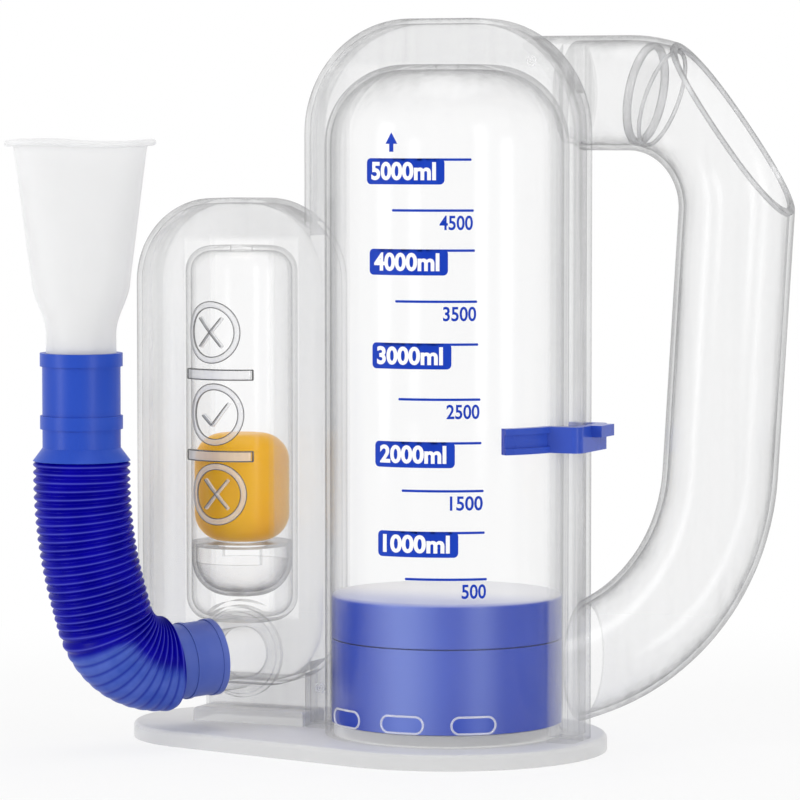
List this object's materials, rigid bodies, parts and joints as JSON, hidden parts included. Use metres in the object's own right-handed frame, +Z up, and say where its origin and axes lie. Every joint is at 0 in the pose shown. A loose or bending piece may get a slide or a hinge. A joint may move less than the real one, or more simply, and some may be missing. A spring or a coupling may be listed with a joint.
{
  "type": "incentive spirometer",
  "caption": "Clear volumetric breathing exerciser: piston column, flow tower with float, hollow handle, sliding marker, corrugated hose and flared mouthpiece on a base plate.",
  "frame": {"origin": "underside of the base plate, on the volume column's axis", "axes": "+Z up along the column, -Y towards the front with the hose, +X towards the handle"},
  "size_m": [0.2625, 0.1366, 0.256],
  "materials": {
    "clear_shell": "clear moulded polystyrene",
    "clear_handle": "clear moulded polystyrene",
    "clear_port": "clear moulded polystyrene",
    "clear_seat": "clear moulded polystyrene",
    "frosted_base": "translucent frosted",
    "piston_blue": "satin royal blue",
    "float_orange": "glossy yellow-orange",
    "pointer_blue": "glossy blue",
    "cuff_blue": "soft satin blue",
    "hose_blue": "glossy corrugated blue",
    "frosted_mouthpiece": "translucent frosted"
  },
  "bodies": {
    "housing": {"front_shell": "clear_shell", "rear_shell": "clear_shell", "base_plate": "frosted_base", "handle_front": "clear_handle", "handle_rear": "clear_handle", "handle_bulkhead": "clear_handle", "inlet_port": "clear_port", "float_seat": "clear_seat"},
    "piston": {"piston_crown": "piston_blue", "piston_skirt": "piston_blue"},
    "flow_float": {"flow_float": "float_orange"},
    "goal_pointer": {"goal_pointer": "pointer_blue"},
    "hose": {"lower_cuff": "cuff_blue", "corrugated_hose": "hose_blue", "upper_cuff": "cuff_blue"},
    "mouthpiece": {"mouthpiece": "frosted_mouthpiece"}
  },
  "joints": [
    {"name": "piston_rise", "type": "slide", "parent": "housing", "child": "piston", "axis": [0, 0, 1], "range_m": [0, 0.156]},
    {"name": "float_rise", "type": "slide", "parent": "housing", "child": "flow_float", "axis": [0, 0, 1], "range_m": [0, 0.062]},
    {"name": "pointer_slide", "type": "slide", "parent": "housing", "child": "goal_pointer", "axis": [0, 0, 1], "range_m": [-0.04, 0.092]},
    {"name": "hose_swivel", "type": "hinge", "parent": "housing", "child": "hose", "pos_m": [-0.074, -0.012, 0.0315], "axis": [-0.5863, -0.807, -0.0698], "range_deg": [-30, 30]},
    {"name": "mouthpiece_pull", "type": "slide", "parent": "hose", "child": "mouthpiece", "axis": [0, 0, 1], "range_m": [0, 0.024]}
  ]
}
